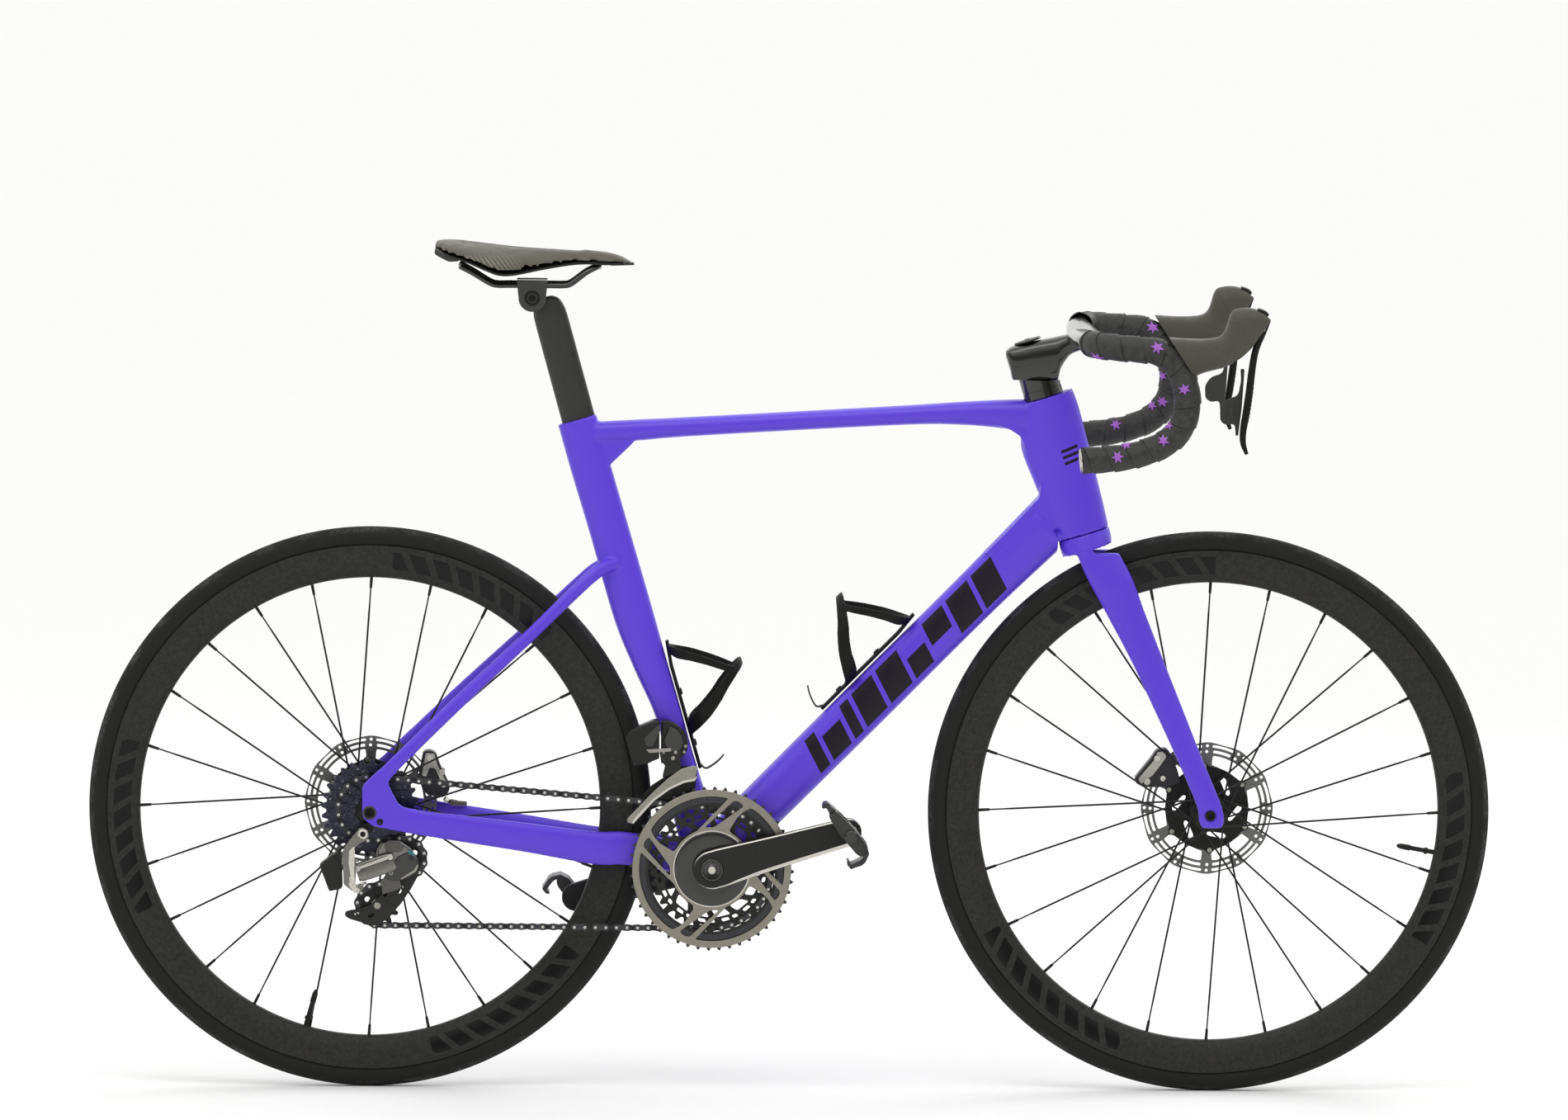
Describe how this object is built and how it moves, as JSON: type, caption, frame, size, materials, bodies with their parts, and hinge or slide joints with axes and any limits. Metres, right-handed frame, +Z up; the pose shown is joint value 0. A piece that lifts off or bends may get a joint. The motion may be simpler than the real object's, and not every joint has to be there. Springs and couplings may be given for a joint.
{
  "type": "road bicycle",
  "caption": "Aero road bicycle with deep rims, disc brakes, one-piece cockpit and wireless gears; cranks, wheels, steering and levers move.",
  "frame": {"origin": "on the ground midway between the two axles, in the bicycle's mid-plane", "axes": "+X forward, +Z up, +Y to the rider's left (the drive side is -Y)"},
  "size_m": [1.69, 0.459, 1.0264],
  "materials": {
    "paint": "satin violet paint over carbon",
    "carbon": "matt black carbon",
    "tyre_rubber": "black tread rubber",
    "hose_rubber": "black rubber",
    "tape": "crinkled black bar tape",
    "hood_rubber": "ribbed olive-black rubber",
    "saddle_cover": "dark olive-black cover",
    "plastic": "satin black plastic",
    "black_metal": "black anodised",
    "steel": "satin steel",
    "dark_steel": "dark steel",
    "silver": "polished alloy"
  },
  "bodies": {
    "frame": {"frame": "paint", "derailleur_hanger": "black_metal", "bottom_bracket": "black_metal", "headset_lower_bearing": "steel", "headset_upper_bearing": "steel", "rear_thru_axle": "black_metal", "front_derailleur_body": "plastic", "front_derailleur_battery": "plastic", "bottle_cage_down_tube": "carbon", "bottle_cage_seat_tube": "carbon", "rear_brake_caliper": "black_metal", "rear_brake_hose": "hose_rubber", "chain": "dark_steel", "rear_derailleur_knuckle": "silver", "rear_derailleur_battery": "plastic"},
    "seatpost": {"seatpost": "carbon"},
    "saddle": {"saddle_clamp": "black_metal", "saddle_rails": "black_metal", "saddle_shell": "plastic", "saddle_padding": "saddle_cover"},
    "cockpit": {"fork": "paint", "handlebar": "carbon", "headset_spacer": "plastic", "left_bar_tape": "tape", "right_bar_tape": "tape", "left_hood": "hood_rubber", "right_hood": "hood_rubber", "front_brake_caliper": "black_metal", "front_thru_axle": "black_metal"},
    "left_brake_lever": {"left_brake_lever": "carbon"},
    "right_brake_lever": {"right_brake_lever": "carbon"},
    "left_shift_paddle": {"left_shift_paddle": "plastic"},
    "right_shift_paddle": {"right_shift_paddle": "plastic"},
    "front_wheel": {"front_tyre": "tyre_rubber", "front_rim": "carbon", "front_hub": "black_metal", "front_spokes_left": "black_metal", "front_spokes_right": "black_metal", "front_rotor": "steel"},
    "rear_wheel": {"rear_tyre": "tyre_rubber", "rear_rim": "carbon", "rear_hub": "black_metal", "rear_spokes_left": "black_metal", "rear_spokes_right": "black_metal", "rear_rotor": "steel"},
    "cassette": {"cassette": "dark_steel"},
    "crank": {"right_crank_arm": "black_metal", "left_crank_arm": "black_metal", "crank_spider": "black_metal", "outer_chainring": "steel", "inner_chainring": "black_metal"},
    "left_pedal": {"left_pedal": "plastic"},
    "right_pedal": {"right_pedal": "plastic"},
    "front_derailleur_cage": {"front_derailleur_cage": "silver"},
    "derailleur_link": {"rear_derailleur_link": "plastic"},
    "derailleur_body": {"rear_derailleur_body": "plastic"},
    "derailleur_cage": {"rear_derailleur_cage": "black_metal"},
    "guide_pulley": {"guide_pulley": "plastic"},
    "tension_pulley": {"tension_pulley": "plastic"}
  },
  "joints": [
    {"name": "steering", "type": "hinge", "parent": "frame", "child": "cockpit", "pos_m": [0.3532, 0, 0.6757], "axis": [-0.2924, 0, 0.9563], "range_deg": [-60, 60]},
    {"name": "front_wheel_spin", "type": "hinge", "parent": "cockpit", "child": "front_wheel", "pos_m": [0.506, 0, 0.339], "axis": [0, 1, 0], "continuous": true},
    {"name": "rear_wheel_spin", "type": "hinge", "parent": "frame", "child": "rear_wheel", "pos_m": [-0.506, 0, 0.339], "axis": [0, 1, 0], "continuous": true},
    {"name": "crank_spin", "type": "hinge", "parent": "frame", "child": "crank", "pos_m": [-0.094, 0, 0.2705], "axis": [0, 1, 0], "continuous": true},
    {"name": "cassette_spin", "type": "hinge", "parent": "frame", "child": "cassette", "pos_m": [-0.506, 0, 0.339], "axis": [0, 1, 0], "continuous": true},
    {"name": "right_pedal_spin", "type": "hinge", "parent": "crank", "child": "right_pedal", "pos_m": [0.07182, -0.11, 0.31805], "axis": [0, 1, 0], "continuous": true},
    {"name": "left_pedal_spin", "type": "hinge", "parent": "crank", "child": "left_pedal", "pos_m": [-0.25982, 0.11, 0.22295], "axis": [0, 1, 0], "continuous": true},
    {"name": "seatpost_height", "type": "slide", "parent": "frame", "child": "seatpost", "axis": [-0.268, 0, 0.9634], "range_m": [-0.028, 0.03]},
    {"name": "saddle_tilt", "type": "hinge", "parent": "seatpost", "child": "saddle", "pos_m": [-0.3145, 0, 0.956], "axis": [0, 1, 0], "range_deg": [-8, 8]},
    {"name": "left_brake_pull", "type": "hinge", "parent": "cockpit", "child": "left_brake_lever", "pos_m": [0.556, 0.21, 0.936], "axis": [0, 1, 0], "range_deg": [0, 14], "stiffness_Nm_per_rad": 3},
    {"name": "right_brake_pull", "type": "hinge", "parent": "cockpit", "child": "right_brake_lever", "pos_m": [0.556, -0.21, 0.936], "axis": [0, 1, 0], "range_deg": [0, 14], "stiffness_Nm_per_rad": 3},
    {"name": "left_shift_press", "type": "hinge", "parent": "cockpit", "child": "left_shift_paddle", "pos_m": [0.5325, 0.198, 0.888], "axis": [-1, 0, 0], "range_deg": [0, 8], "stiffness_Nm_per_rad": 1},
    {"name": "right_shift_press", "type": "hinge", "parent": "cockpit", "child": "right_shift_paddle", "pos_m": [0.5325, -0.198, 0.888], "axis": [1, 0, 0], "range_deg": [0, 8], "stiffness_Nm_per_rad": 1},
    {"name": "front_derailleur_shift", "type": "hinge", "parent": "frame", "child": "front_derailleur_cage", "pos_m": [-0.14, -0.032, 0.43], "axis": [1, 0, 0], "range_deg": [-6.5, 0], "deforming": ["chain"]},
    {"name": "rear_derailleur_shift", "type": "hinge", "parent": "frame", "child": "derailleur_link", "pos_m": [-0.52, -0.07, 0.265], "axis": [-0.3201, 0, 0.9474], "range_deg": [-38, 13], "deforming": ["chain"]},
    {"name": "derailleur_body_level", "type": "hinge", "parent": "derailleur_link", "child": "derailleur_body", "pos_m": [-0.477, -0.0625, 0.279], "axis": [-0.3201, 0, 0.9474], "range_deg": [-13, 38]},
    {"name": "chain_tension", "type": "hinge", "parent": "derailleur_body", "child": "derailleur_cage", "pos_m": [-0.464, -0.032, 0.279], "axis": [0, 1, 0], "range_deg": [-45, 10], "stiffness_Nm_per_rad": 2, "deforming": ["chain"]},
    {"name": "guide_pulley_spin", "type": "hinge", "parent": "derailleur_cage", "child": "guide_pulley", "pos_m": [-0.464, -0.032, 0.279], "axis": [0, 1, 0], "continuous": true},
    {"name": "tension_pulley_spin", "type": "hinge", "parent": "derailleur_cage", "child": "tension_pulley", "pos_m": [-0.4965, -0.032, 0.2225], "axis": [0, 1, 0], "continuous": true}
  ],
  "couplings": [
    {"joint": "cassette_spin", "follows": "crank_spin", "ratio": 1.8947},
    {"joint": "guide_pulley_spin", "follows": "crank_spin", "ratio": -3},
    {"joint": "tension_pulley_spin", "follows": "crank_spin", "ratio": 3},
    {"joint": "derailleur_body_level", "follows": "rear_derailleur_shift", "ratio": -1}
  ]
}
